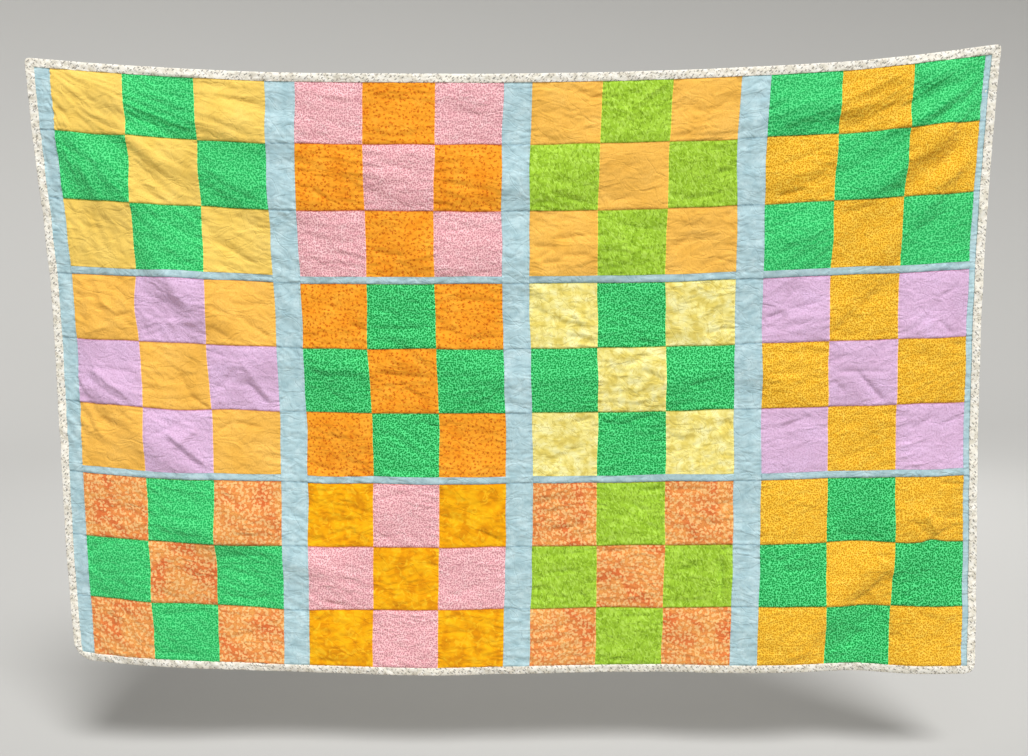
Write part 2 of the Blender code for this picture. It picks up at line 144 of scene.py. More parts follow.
# Finer creases inside one block, by its row and column. Each one's start and end are in hundredths
# of a patch, across and down from the block's top left corner; its width, its height and, where it
# sags, its sag are in millimetres. A ridge stands out, and a trough has a height below zero
creases = {
    (0, 0): (
        (3, 8, 97, 52, 4.5, -1.7, 2), (38, 14, 85, 36, 4, -1.3, 1), (22, 52, 102, 99, 4.5, -2.2, 3),
        (5, 60, 22, 75, 3.5, -1.3), (105, 62, 195, 98, 7, -1.5, 3), (205, 7, 265, 13, 3.5, -1.3),
        (235, 26, 300, 40, 4, -1.7, 1), (210, 58, 295, 97, 6, -1.6, 2), (10, 120, 95, 162, 6, -1.4, 4),
        (130, 112, 200, 152, 7, -2, 2), (103, 172, 160, 199, 4.5, -1.8, 2),
        (202, 148, 300, 192, 8, -2.2, 3), (6, 206, 30, 246, 4, -1.6), (2, 225, 16, 260, 3.5, -1.2),
        (30, 212, 52, 248, 4, -1.3), (105, 202, 200, 252, 8, -2.1, 3), (140, 270, 200, 295, 6, -1.4, 1),
        (203, 246, 290, 295, 5.5, -2.6, -3), (242, 206, 300, 236, 5, -1.6, 1),
    ),
    (0, 1): (
        (35, 20, 98, 26, 3.5, 1.3, 1), (105, 16, 198, 34, 8, -1.8, 2), (160, 6, 186, 26, 7, -1.4),
        (105, 82, 195, 86, 7, -1.4, 2), (205, 40, 290, 52, 7, -1.3, 3), (2, 166, 24, 167, 3, -1.4),
        (20, 168, 50, 184, 3, -2.2), (110, 125, 195, 142, 7, -1.2, 3), (210, 155, 298, 170, 5, -1.6, 2),
        (10, 235, 95, 250, 6, -1.3, 3), (105, 260, 160, 270, 4.5, -1.5, 1),
        (205, 230, 280, 222, 6, -1.3, 2),
    ),
    (0, 2): (
        (122, 1, 103, 38, 2.8, 1.7), (196, 1, 140, 50, 3, 2.2, -2), (142, 48, 128, 72, 3.5, 1.3),
        (52, 4, 82, 25, 5, -1.5), (80, 31, 103, 20, 3.5, -2), (5, 52, 60, 38, 9, -1.5, 2),
        (14, 84, 44, 100, 4.5, -1.6), (202, 50, 222, 44, 3.5, -1.6), (218, 44, 255, 58, 5, -1.9, -2),
        (300, 22, 240, 66, 9, -2, 2), (230, 86, 202, 98, 6, -1.2), (12, 154, 96, 166, 5.5, -1.5, -2),
        (22, 168, 95, 192, 4.5, -1.9, 1), (106, 188, 198, 166, 8, -1.5, 3), (130, 140, 162, 130, 5, -1),
        (200, 178, 218, 188, 3.5, -1.5), (215, 187, 295, 176, 4, -1.6, 2),
        (260, 118, 280, 110, 3.5, -1.5), (270, 150, 298, 144, 3, -1.9), (2, 214, 28, 218, 4, -1.6),
        (36, 243, 100, 236, 3.5, -2.5, 1), (2, 252, 46, 253, 4, -2, 2), (44, 254, 8, 278, 4, -1.8, -2),
        (46, 266, 97, 267, 3.5, -1.5, 1), (15, 281, 48, 278, 4.5, -2.1), (97, 240, 118, 238, 3, -1.9),
        (125, 222, 197, 236, 5.5, -1.8), (206, 264, 248, 238, 8, -1.9), (280, 216, 297, 208, 3.5, -1.5),
    ),
    (0, 3): (
        (106, 48, 198, 4, 7, 1.8, 2), (103, 96, 199, 40, 7, -2, 3), (10, 95, 95, 52, 9, -1.6, 3),
        (202, 64, 297, 6, 7, -2.4, 3), (205, 30, 260, 6, 6, 1.4, 1), (210, 92, 290, 62, 8, -1.3, 3),
        (4, 148, 98, 113, 4.5, -1.5, 2), (14, 190, 62, 179, 3.5, -2.6), (58, 180, 102, 134, 9, -1.8, 2),
        (104, 134, 155, 108, 8, -1.8, 1), (155, 197, 198, 182, 6, -1.6), (204, 192, 295, 108, 8, -1.8, 4),
        (232, 180, 280, 130, 5, -1.4, 1), (105, 222, 170, 204, 4.5, -1.7, 1),
        (10, 280, 96, 240, 7, -1.4, 2), (205, 255, 275, 215, 7, -1.5, 3),
    ),
    (1, 0): (
        (28, 28, 16, 78, 3.5, 1.7), (30, 28, 76, 62, 4, 1.9), (8, 6, 34, 34, 4, 1.5),
        (64, 64, 100, 54, 3.5, -1.7), (4, 94, 62, 72, 4, 1.7, 2), (128, 36, 168, 44, 12, -1.6),
        (148, 12, 188, 54, 5.5, 1.6), (104, 84, 136, 71, 3.5, -1.9), (134, 72, 198, 64, 4, 1.6),
        (106, 94, 138, 80, 3.5, -1.7), (203, 70, 238, 94, 4.5, -2.1, -2),
        (242, 50, 272, 76, 4.5, -2.1, -1), (270, 72, 292, 86, 4, -1.6), (234, 36, 300, 31, 3.5, -1.6, 2),
        (203, 38, 232, 54, 4, -1.4), (10, 136, 97, 199, 5, 2.4, 2), (6, 152, 80, 200, 4.5, -1.8, 2),
        (5, 184, 30, 198, 3.5, -1.6), (0, 143, 102, 149, 2.8, -1.2), (102, 150, 200, 147, 2.6, -1.3, 1),
        (156, 148, 172, 180, 3.5, -1.8), (166, 176, 200, 200, 4, -2.4), (205, 174, 246, 132, 5, -1.8, 2),
        (242, 114, 295, 192, 5.5, 2.2, 1), (250, 150, 288, 194, 4, -2.4), (206, 108, 230, 120, 3.5, -1.6),
        (28, 220, 66, 236, 4, -2, -1), (14, 220, 42, 262, 4, 1.7), (105, 245, 160, 212, 5, -1.7, 2),
        (126, 228, 200, 297, 4.5, 2.4), (124, 238, 192, 300, 4, -2.4), (135, 266, 180, 224, 5, 1.9),
        (205, 236, 230, 220, 3.5, -2.1), (228, 222, 285, 230, 3.5, -1.9, -2),
        (245, 255, 285, 220, 5, 1.6),
    ),
    (1, 1): (
        (10, 28, 62, 42, 6, -1.4, -3), (6, 92, 34, 72, 4, -1.5), (70, 62, 102, 70, 4, -2.3),
        (100, 69, 200, 66, 5, -2.2, 2), (105, 84, 150, 88, 4.5, -1.2), (202, 68, 240, 79, 4.5, -2.4),
        (238, 84, 298, 80, 3.5, -2, 2), (220, 28, 298, 30, 4, -1.7, -4), (2, 138, 105, 140, 6, -1.6, 3),
        (102, 136, 198, 144, 4, -2.2, 1), (136, 150, 188, 184, 5.5, -1.9), (30, 160, 70, 192, 6, -1.4),
        (200, 142, 300, 138, 5, -2.4, 2), (270, 192, 298, 155, 4, -1.5), (170, 210, 200, 226, 4, -2),
        (202, 226, 224, 210, 4, -2), (30, 234, 58, 242, 4, -1.4), (2, 284, 45, 290, 4, -1.8),
        (105, 280, 195, 288, 6, -1.5, 2),
    ),
    (1, 2): (
        (4, 34, 32, 52, 7, -1.9), (30, 50, 58, 64, 6, -1.6), (62, 42, 80, 66, 3.5, 1.6),
        (55, 80, 86, 86, 3.5, -1.8), (84, 85, 98, 97, 3.5, -1.6), (103, 20, 140, 6, 6, -1.5),
        (206, 60, 256, 10, 9, -1.7, 2), (230, 66, 295, 22, 6, 1.6, 2), (256, 84, 280, 75, 3.5, -2),
        (276, 76, 300, 73, 3, -2.2), (138, 132, 172, 112, 3.5, -2.1), (164, 134, 200, 156, 4, -2.1, -1),
        (105, 124, 135, 134, 5, -1.3), (102, 180, 195, 192, 7, -1.5, 3), (230, 162, 298, 144, 4, -1.8, 1),
        (60, 216, 98, 208, 4, -1.8), (102, 214, 126, 220, 3.5, -2.2), (120, 222, 192, 203, 4.5, -2.3, 1),
        (218, 245, 250, 212, 4, 1.8), (275, 230, 298, 216, 4, -1.8), (10, 280, 80, 250, 6, -1.5, 2),
    ),
    (1, 3): (
        (6, 62, 36, 50, 3.2, -2.6), (32, 51, 98, 38, 3.2, -2.4), (26, 46, 60, 8, 4, -1.9),
        (2, 78, 40, 62, 3.5, -1.5), (102, 92, 140, 52, 7, -2.3), (136, 56, 198, 8, 7, -2),
        (232, 80, 262, 38, 5, -2.1), (258, 42, 290, 18, 5, -1.8), (256, 72, 282, 98, 3.2, -2),
        (4, 148, 95, 146, 3.5, -1.6), (102, 146, 198, 150, 2.8, -1.5), (138, 146, 186, 199, 4.6, -3.2),
        (104, 158, 126, 182, 3.5, -1.6), (238, 114, 248, 144, 4, -1.6), (270, 108, 298, 114, 3.5, -1.8),
        (215, 240, 262, 216, 4.5, -1.9), (260, 234, 298, 220, 4, -1.5), (20, 230, 80, 210, 5, -1.5, 2),
        (110, 285, 185, 255, 7, -1.6),
    ),
    (2, 0): (
        (2, 130, 18, 113, 4.5, -2), (15, 115, 52, 102, 4.5, -1.8), (2, 152, 24, 138, 4, -1.4),
        (106, 56, 196, 62, 5, -1.4, 2), (105, 85, 196, 90, 5, -1.4), (205, 18, 240, 42, 5, -1.5),
        (222, 52, 298, 78, 4.5, -1.7, 1), (225, 82, 298, 84, 4, -1.6, 1), (108, 180, 145, 193, 3.8, -1.9),
        (206, 110, 290, 118, 6, -1.4, 2), (204, 182, 255, 188, 3.8, -1.9), (250, 190, 282, 178, 4, -2),
        (105, 222, 195, 210, 4.5, -1.5, 1), (105, 286, 175, 290, 5, -1.5), (28, 224, 42, 252, 5, -1.5),
        (210, 260, 280, 230, 6, -1.5, 2),
    ),
    (2, 1): (
        (2, 94, 28, 84, 3.5, -2.2), (24, 85, 76, 68, 3.5, -2.1), (52, 94, 76, 74, 3.2, -2.2),
        (16, 62, 98, 54, 4.5, -2, 1), (10, 12, 40, 10, 4, -1.4), (60, 36, 98, 48, 5, -1.5),
        (105, 24, 160, 12, 5, -1.5), (106, 84, 132, 82, 4, -1.5), (202, 50, 248, 64, 4.5, -1.8),
        (254, 70, 298, 95, 3.8, -2.3), (218, 80, 242, 92, 4, -1.6), (272, 20, 296, 40, 5, -1.5),
        (22, 188, 60, 193, 3, -1.9), (180, 126, 200, 130, 3.5, -1.8), (178, 176, 200, 168, 3.5, -1.8),
        (208, 180, 275, 152, 5, -1.4, 2), (8, 220, 44, 208, 4, -1.7), (10, 288, 50, 293, 4, -1.8),
        (120, 290, 150, 256, 4, -1.4), (200, 240, 258, 238, 4, -1.9, -1), (205, 218, 242, 206, 4, -1.6),
    ),
    (2, 2): (
        (284, 108, 285, 198, 3.2, -2.6), (258, 110, 298, 107, 3.2, -1.4), (158, 13, 202, 12, 3.5, -2.2),
        (150, 32, 170, 48, 4, -1.7), (168, 68, 198, 80, 5, -1.5), (4, 36, 32, 24, 4, -1.8),
        (28, 24, 72, 26, 4, -1.6), (22, 46, 68, 38, 4, -1.5), (6, 78, 95, 62, 4.5, -1.6, 1),
        (200, 13, 272, 11, 3.8, -1.9), (245, 75, 300, 62, 4, -1.7), (270, 40, 300, 34, 4, -1.6),
        (20, 143, 74, 139, 3.8, -2.2), (2, 164, 18, 176, 3.2, -1.9), (15, 176, 60, 186, 3.2, -1.9),
        (66, 174, 88, 184, 3.5, -1.5), (10, 116, 85, 110, 4.5, -1.3), (102, 110, 155, 108, 4.5, -1.8),
        (282, 122, 283, 192, 2.8, -2.2), (284, 114, 300, 100, 3, -1.8), (222, 142, 256, 132, 4.5, -2),
        (200, 166, 214, 174, 3.2, -1.6), (8, 290, 28, 240, 4.5, -2), (105, 286, 120, 296, 4, -1.5),
        (135, 216, 185, 214, 5, -1.3),
    ),
    (2, 3): (
        (262, 10, 300, 13, 3, -2), (248, 54, 270, 66, 4.5, -2.2), (266, 64, 300, 64, 4.5, -2),
        (238, 50, 262, 94, 5, 2.4), (260, 90, 295, 74, 4, -1.8), (220, 62, 246, 90, 4, -1.6),
        (202, 40, 240, 30, 4.5, -1.3), (198, 146, 162, 178, 7, -3), (166, 174, 140, 198, 6, -2.2),
        (192, 128, 145, 152, 7, 1.8), (160, 120, 196, 122, 3.5, -1.7), (190, 204, 146, 240, 6, -2.4),
        (150, 236, 112, 278, 6, -2.2), (158, 240, 130, 274, 3.5, -2), (12, 124, 42, 127, 4, -1.8),
        (28, 142, 92, 142, 5, -1.8, 1), (112, 88, 190, 93, 6, -1.5, 1), (40, 292, 85, 270, 6, 1.6),
        (232, 212, 270, 222, 5, -1.5), (200, 252, 218, 246, 3.5, -1.5),
    ),
}


def stripsAcross():
    # lengths and crowns of the strips and patches from the left edge to the right one
    patches = [(quilt["patchWidth"], quilt["patchCrown"])] * quilt["patches"]
    strips = [(quilt["bindingWidth"], 0.0), (quilt["leftSash"], quilt["sashCrown"])] + patches
    for block in range(1, quilt["blocksAcross"]):
        strips += [(quilt["sash"], quilt["sashCrown"])] + patches
    return strips + [(quilt["rightSash"], quilt["rightSashCrown"]), (quilt["bindingWidth"], 0.0)]


def stripsDown():
    # the same from the top edge to the bottom one
    crown = quilt["patchCrown"]
    strips = [(quilt["bindingWidth"], 0.0)]
    for block in range(quilt["blocksDown"]):
        if block:
            strips.append((quilt["crossSash"], quilt["sashCrown"]))
        for patch in range(quilt["patches"]):
            isEnd = (block, patch) in ((0, 0), (quilt["blocksDown"] - 1, quilt["patches"] - 1))
            strips.append((quilt["endRow"] if isEnd else quilt["patchHeight"], crown))
    return strips + [(quilt["bindingWidth"], 0.0)]


acrossLengths, acrossCrowns = (np.array(values) for values in zip(*stripsAcross()))
downLengths, downCrowns = (np.array(values) for values in zip(*stripsDown()))
seamsAcross = np.concatenate([[0.0], np.cumsum(acrossLengths)])
seamsDown = np.concatenate([[0.0], np.cumsum(downLengths)])
quiltWidth = seamsAcross[-1]
quiltHeight = seamsDown[-1]
firstColumns = [2 + block * (quilt["patches"] + 1) for block in range(quilt["blocksAcross"])]
firstRows = [1 + block * (quilt["patches"] + 1) for block in range(quilt["blocksDown"])]

levelSashes = [row - 1 for row in firstRows[1:]]

# The level lines it is quilted along: every seam but the upper one of each level sash
sewnDown = np.delete(seamsDown, levelSashes)
sewnCrowns = np.delete(downCrowns, levelSashes)


def readCurve(places, values, at):
    # a smooth curve through a table's values, read at many places at once
    last = len(places) - 1
    k = np.clip(np.searchsorted(places, at, side="right") - 1, 0, last - 1)
    before, after = np.maximum(k - 1, 0), np.minimum(k + 2, last)
    span = places[k + 1] - places[k]
    t = (at - places[k]) / span
    slope = (values[k + 1] - values[before]) / (places[k + 1] - places[before]) * span
    nextSlope = (values[after] - values[k]) / (places[after] - places[k]) * span
    return (
        values[k] * (1 - 3 * t**2 + 2 * t**3) + values[k + 1] * (3 * t**2 - 2 * t**3)
        + slope * (t - 2 * t**2 + t**3) + nextSlope * (t**3 - t**2)
    )


def ease(t):
    t = np.clip(t, 0.0, 1.0)
    return t * t * (3 - 2 * t)


def ridgeHeight(x, z, x0, z0, x1, z1, sag, width, height, fan=0, crisp=0):
    # how far one ridge stands out; a negative height is a trough
    runX, runZ = x1 - x0, z1 - z0
    length = math.hypot(runX, runZ)
    t = ((x - x0) * runX + (z - z0) * runZ) / length**2
    lineX = x0 + runX * t
    lineZ = z0 + runZ * t - 4 * sag * t * (1 - t)
    off = ((z - lineZ) * runX - (x - lineX) * runZ) / length * (1 if runX > 0 else -1)
    wide, narrow = drape["above"], drape["below"]
    spread = width * (np.where(off > 0, wide, narrow) if height > 0 else np.where(off > 0, narrow, wide))
    if fan:
        spread = spread * (drape["fanStart"] + drape["fanGrowth"] * np.clip(t, 0, 1))
    rise = ease(t / drape["fadeIn"]) * ease((1 - t) / drape["fadeOut"])
    if crisp:
        return height * rise * np.exp((crisp - np.hypot(off, crisp)) / spread)
    return height * rise * np.exp(-((off / spread) ** 2))


def softNoise(u, v, seed):
    # smooth noise from about -1 to 1, with one swell to a unit, that repeats after 256 units
    angles = np.random.default_rng(seed).random((256, 256)) * 2 * math.pi
    i, j = np.floor(u).astype(int), np.floor(v).astype(int)
    p, q = u - i, v - j

    def corner(di, dj):
        angle = angles[(i + di) & 255, (j + dj) & 255]
        return np.cos(angle) * (p - di) + np.sin(angle) * (q - dj)

    shareP, shareQ = p**3 * (p * (p * 6 - 15) + 10), q**3 * (q * (q * 6 - 15) + 10)
    low = corner(0, 0) * (1 - shareP) + corner(1, 0) * shareP
    high = corner(0, 1) * (1 - shareP) + corner(1, 1) * shareP
    return 1.5 * (low * (1 - shareQ) + high * shareQ)


def crinkle(u, v, seed, softness=0.06):
    # creased noise: narrow ridges with round hollows between them
    noise = softNoise(u, v, seed)
    return 0.7 - 2 * np.sqrt(noise**2 + softness**2)


# Seams aren't quite straight, but for the outermost ones
wander = {"amount": 0.0013, "across": 0.075, "down": 0.055, "calmEdge": 0.05}

# Places on the flat quilt where the seams stray more: how far, and how far it reaches
jogs = chart(
    "across down reachAcross reachDown right up",
    (0.137, 0.110, 0.050, 0.120, 0.0036, 0.0),
    (0.238, 0.100, 0.040, 0.110, 0.0026, 0.0),
    (0.137, 0.450, 0.050, 0.300, -0.0032, 0.0),
    (0.238, 0.420, 0.050, 0.070, -0.0045, 0.0),
    (0.381, 0.020, 0.045, 0.120, 0.0042, 0.0),
    (0.584, 0.070, 0.045, 0.120, 0.0038, 0.0),
    (0.482, 0.400, 0.050, 0.080, -0.0030, 0.0),
    (0.137, 0.350, 0.045, 0.042, -0.0052, 0.0),
    (0.187, 0.520, 0.050, 0.040, 0.0, -0.0062),
    (0.828, 0.620, 0.050, 0.140, -0.0036, 0.0),
    (1.030, 0.060, 0.060, 0.110, -0.0038, 0.0),
    (1.030, 0.290, 0.060, 0.110, 0.0034, 0.0),
    (0.030, 0.330, 0.100, 0.140, 0.0, -0.0055),
    (0.120, 0.640, 0.120, 0.160, 0.0, -0.0034),
    (0.360, 0.790, 0.090, 0.080, 0.0, -0.0050),
    (1.380, 0.320, 0.110, 0.150, 0.0, -0.0042),
    (1.276, 0.850, 0.040, 0.095, -0.0065, 0.0),
    (1.329, 0.701, 0.017, 0.026, 0.0, 0.0048),
)


def hangCloth(across, down):
    # where the middle of the quilt's thickness hangs: x, how far out it stands, and z
    a, d = across / quiltWidth, down / quiltHeight
    left, shift, right = (readCurve(levels["down"], levels[c], d) for c in list(levels)[1:])
    x = left + a * (right - left) + 4 * a * (1 - a) * shift
    top, bottom, hem = (readCurve(stations["across"], stations[c], a) for c in list(stations)[1:])
    z = top + d * (bottom - top)
    out = hem * ease(d) - drape["belly"] * np.sin(math.pi * a) * ease(2 * d)
    long = drape["strayLength"]
    strayX = x + drape["stray"] * softNoise(x / long, z / long, 5)
    strayZ = z + drape["stray"] * softNoise(x / long, z / long, 6)
    ridges = 0
    for k in range(len(folds["name"])):
        ridges = ridges + ridgeHeight(strayX, strayZ, *(folds[c][k] for c in list(folds)[1:]))
    lengthX, lengthZ = drape["unevenLengths"]
    uneven = drape["unevenness"] * softNoise(x / lengthX, z / lengthZ, 7)
    out = out + ridges * (drape["evenness"] + uneven)
    u, v = across / wander["across"], down / wander["down"]
    inside = ease(np.minimum(across, quiltWidth - across) / wander["calmEdge"])
    inside = inside * ease(np.minimum(down, quiltHeight - down) / wander["calmEdge"])
    x = x + wander["amount"] * softNoise(u, v, 3) * inside
    z = z + wander["amount"] * softNoise(u + 40, v, 4) * inside
    for jogAcross, jogDown, reachAcross, reachDown, right, up in zip(*jogs.values()):
        near = ((across - jogAcross) / reachAcross) ** 2 + ((down - jogDown) / reachDown) ** 2
        x = x + right * np.exp(-near)
        z = z + up * np.exp(-near)
    return x, out, z


def roundedPlace(across, down):
    # draws places near a corner of the outline in to the corner's arc
    for right, low, radius in zip(*cornerArcs.values()):
        fromSide = quiltWidth - across if right else across
        fromEnd = quiltHeight - down if low else down
        p, q = 1 - fromSide / radius, 1 - fromEnd / radius
        here = (p > 0) & (q > 0)
        p, q = np.clip(p, 0, 1), np.clip(q, 0, 1)
        side = radius * (1 - p * np.sqrt(1 - q * q / 2))
        end = radius * (1 - q * np.sqrt(1 - p * p / 2))
        across = np.where(here, quiltWidth - side if right else side, across)
        down = np.where(here, quiltHeight - end if low else end, down)
    return across, down


def nearestSeam(place, seams):
    # the strip that a place is in, and how far it is from the seams before and after it
    k = np.clip(np.searchsorted(seams, place, side="right") - 1, 0, len(seams) - 2)
    return k, place - seams[k], seams[k + 1] - place


# How a filled patch rises from a seam: quickly at first, then slowly to its crown
pillow = {"quick": 0.0030, "quickShare": 0.38, "slow": 0.026}


def pillowRise(fromSeam):
    fromSeam = np.maximum(fromSeam, 0)
    slow = 1 - (1 - np.clip(fromSeam / pillow["slow"], 0, 1)) ** 2
    quick = 1 - np.exp(-fromSeam / pillow["quick"])
    return pillow["quickShare"] * quick + (1 - pillow["quickShare"]) * slow


def onLevelSash(down):
    # the level sashes run on past the patches' upright seams
    return np.isin(nearestSeam(down, seamsDown)[0], levelSashes)


def halfThickness(across, down):
    column, fromLeft, fromRight = nearestSeam(across, seamsAcross)
    row, fromTop, fromBottom = nearestSeam(down, sewnDown)
    crown = np.minimum(acrossCrowns[column], sewnCrowns[row])
    fromSide = np.where(onLevelSash(down), quilt["patchWidth"] / 2, np.minimum(fromLeft, fromRight))
    rise = pillowRise(fromSide) * pillowRise(np.minimum(fromTop, fromBottom))
    return quilt["seamHalf"] + crown * rise


rumple = {
    "billow": 0.0015,           # broad unevenness
    "billowLengths": (0.085, 0.055),
    "long": 0.0014,             # washed-in creases, long ones and short ones
    "longLength": 0.060,
    "longSpacing": 0.0165,
    "longPatches": (0.12, 0.09),    # they come and go over such lengths
    "short": 0.00105,
    "shortLength": 0.026,
    "shortSpacing": 0.0078,
    "shortPatches": (0.07, 0.06),
    "directions": (-1.0, -0.6, -0.2, 0.2, 0.6, 1.0),    # radians up from level
    "directionSpread": 0.28,
    "heldCorners": ((-0.705, 0.030, 16), (0.705, 0.050, 17)),    # x, z and a seed
    "pull": 0.62,               # creases run down and away from the two held corners
    "pullFrom": 0.7,
    "pullReach": 0.44,
    "turning": 0.60,            # and turn this way and that
    "turningLengths": (0.10, 0.085),
    "fan": 0.0015,              # creases that run out from the two top corners
    "fanAngle": 0.060,          # radians between them
    "fanLength": 0.15,
    "fanReach": 0.50,
    "fanStart": 0.10,
    "pucker": 0.00060,          # short gathers along the upright seams
    "puckerPitch": 0.0062,
    "puckerReach": 0.0065,
    "puckerDrift": 0.022,       # how soon their spacing changes
    "puckerGroups": 0.030,      # and how long a group of them is
    "gather": 0.00032,          # and along the level ones
    "gatherPitch": 0.0105,
    "gatherDrift": 0.030,
    "phaseSwing": 2.2,          # radians by which both are uneven
    "lip": 0.00042,             # how far the cloth above a level seam hangs over it
    "lipAt": 0.0030,
    "lipWidth": 0.0022,
    "lipClear": 0.001,          # it ends above the bottom binding
    "creaseWidth": 0.00100,     # metres for each millimetre in the table of creases
    "creaseHeight": 0.00125,
    "creaseEdge": 0.0012,       # how soft a finer crease's edge is
    "creaseReach": 0.02,
    "hemRoll": 0.0030,          # the bottom binding turns under a little
    "hemReach": 0.017,
}


def fanCreases(x, z, cornerX, cornerZ, seed):
    # creases that radiate from a corner, wider apart with distance
    reach = np.hypot(x - cornerX, z - cornerZ)
    angle = np.arctan2(cornerZ - z, np.abs(x - cornerX))
    wave = crinkle(angle / rumple["fanAngle"] + reach * 2, reach / rumple["fanLength"], seed)
    return wave * np.exp(-((reach / rumple["fanReach"]) ** 2)) * ease(reach / rumple["fanStart"])


def pulledCreases(x, z, length, spacing, seed):
    # creased noise whose creases run the way that the cloth is pulled there
    pull = rumple["pull"] * np.exp(-(((x - rumple["pullFrom"]) / rumple["pullReach"]) ** 2))
    pull = pull - rumple["pull"] * np.exp(-(((x + rumple["pullFrom"]) / rumple["pullReach"]) ** 2))
    lengthX, lengthZ = rumple["turningLengths"]
    pull = pull + rumple["turning"] * softNoise(x / lengthX, z / lengthZ, seed + 20)
    total = weights = 0
    for number, angle in enumerate(rumple["directions"]):
        along = x * math.cos(angle) + z * math.sin(angle)
        aside = z * math.cos(angle) - x * math.sin(angle)
        weight = np.exp(-(((angle - pull) / rumple["directionSpread"]) ** 2))
        total = total + weight * crinkle(along / length, aside / spacing, seed + number)
        weights = weights + weight
    return total / weights


def comeAndGo(x, z, lengths, seed, middle, swing):
    # how strong the creases are from place to place
    return np.clip(middle + swing * softNoise(x / lengths[0], z / lengths[1], seed), 0.1, 1.4)


def rumples(across, down, x, z):
    # everything finer than the main folds, square to the cloth
    lengthX, lengthZ = rumple["billowLengths"]
    out = rumple["billow"] * softNoise(x / lengthX, z / lengthZ, 11)
    turned = 1 - np.clip((quiltHeight - down) / rumple["hemReach"], 0, 1)
    out = out - rumple["hemRoll"] * turned**2
    uneven = comeAndGo(x, z, rumple["longPatches"], 12, 0.70, 0.9)
    creased = pulledCreases(x, z, rumple["longLength"], rumple["longSpacing"], 50)
    out = out + rumple["long"] * uneven * creased
    uneven = comeAndGo(x, z, rumple["shortPatches"], 13, 0.60, 1.0)
    creased = pulledCreases(x, z, rumple["shortLength"], rumple["shortSpacing"], 80)
    out = out - rumple["short"] * uneven * creased
    for corner in rumple["heldCorners"]:
        out = out + rumple["fan"] * fanCreases(x, z, *corner)

    column, fromLeft, fromRight = nearestSeam(across, seamsAcross)
    row, fromTop, fromBottom = nearestSeam(down, sewnDown)
    fromSide = np.minimum(fromLeft, fromRight)
    drift = softNoise(down / rumple["puckerDrift"], column + 0.5, 18)
    phase = rumple["phaseSwing"] * drift + column
    gate = np.clip(0.45 + 1.1 * softNoise(down / rumple["puckerGroups"], column + 0.3, 19), 0, 1)
    tick = np.sin(2 * math.pi * down / rumple["puckerPitch"] + phase)
    out = out + rumple["pucker"] * gate * tick * np.exp(-fromSide / rumple["puckerReach"])
    fromEnd = np.minimum(fromTop, fromBottom)
    drift = softNoise(across / rumple["gatherDrift"], row + 0.5, 20)
    phase = rumple["phaseSwing"] * drift + row
    gather = np.sin(2 * math.pi * across / rumple["gatherPitch"] + phase)
    out = out + rumple["gather"] * gather * np.exp(-fromEnd / rumple["puckerReach"])

    for (row, column), rows in creases.items():
        for crease in rows:
            out = out + blockCrease(across, down, row, column, *crease)
    return out


def blockCrease(across, down, row, column, u0, v0, u1, v1, width, height, sag=0):
    # one finer crease, placed by its block
    marks = 100 * np.arange(quilt["patches"] + 1)
    columnSeams = seamsAcross[firstColumns[column]:firstColumns[column] + len(marks)]
    rowSeams = seamsDown[firstRows[row]:firstRows[row] + len(marks)]
    start = np.interp(u0, marks, columnSeams), -np.interp(v0, marks, rowSeams)
    end = np.interp(u1, marks, columnSeams), -np.interp(v1, marks, rowSeams)
    margin = rumple["creaseReach"] + abs(sag) / 1000
    near = (across > min(start[0], end[0]) - margin) & (across < max(start[0], end[0]) + margin)
    near &= (-down > min(start[1], end[1]) - margin) & (-down < max(start[1], end[1]) + margin)
    out = np.zeros_like(across)
    out[near] = ridgeHeight(
        across[near], -down[near], *start, *end,
        sag / 1000, width * rumple["creaseWidth"], height * rumple["creaseHeight"],
        crisp=rumple["creaseEdge"],
    )
    return out


originX, originOut, originZ = hangCloth(np.array([quiltWidth / 2]), np.array([0.0]))


def placeCloth(across, down, out):
    # points that stand out from the middle of the thickness, with all the rumples on them
    across, down = roundedPlace(across, down)
    near = drape["nearby"]
    x, y, z = hangCloth(across, down)
    right, left = hangCloth(across + near, down), hangCloth(across - near, down)
    below, above = hangCloth(across, down + near), hangCloth(across, down - near)
    run = np.stack([right[0] - left[0], left[1] - right[1], right[2] - left[2]], axis=1)
    fall = np.stack([below[0] - above[0], above[1] - below[1], below[2] - above[2]], axis=1)
    normal = np.cross(fall, run)
    normal /= np.linalg.norm(normal, axis=1)[:, None]
    middle = np.stack([x - originX, originOut - y, z - originZ], axis=1)
    return middle + normal * (out + rumples(across, down, x, z))[:, None]


def gridLines(seams, fine, step):
    # grid lines through a row of strips: closer ones near each seam, even ones between
    lines = [seams[0]]
    for start, end in zip(seams, seams[1:]):
        near = [place for place in fine if place < (end - start) / 2 - step / 2]
        first, last = start + max(near, default=0), end - max(near, default=0)
        steps = max(1, round((last - first) / step))
        lines += [start + place for place in near[:-1]]
        lines += list(np.linspace(first, last, steps + 1))[0 if near else 1:None if near else -1]
        lines += [end - place for place in reversed(near[:-1])] + [end]
    return np.array(lines)


def selectNone():
    bpy.ops.object.select_all(action="DESELECT")


def vertexPlaces(mesh):
    places = np.empty(len(mesh.vertices) * 3)
    mesh.vertices.foreach_get("co", places)
    return places.reshape(-1, 3)


def cornerVertices(mesh):
    vertices = np.empty(len(mesh.loops), int)
    mesh.loops.foreach_get("vertex_index", vertices)
    return vertices


def writeMaps(mesh, **maps):
    for name, values in maps.items():
        layer = mesh.uv_layers.new(name=name)
        layer.data.foreach_set("uv", values.astype(np.float32).ravel())


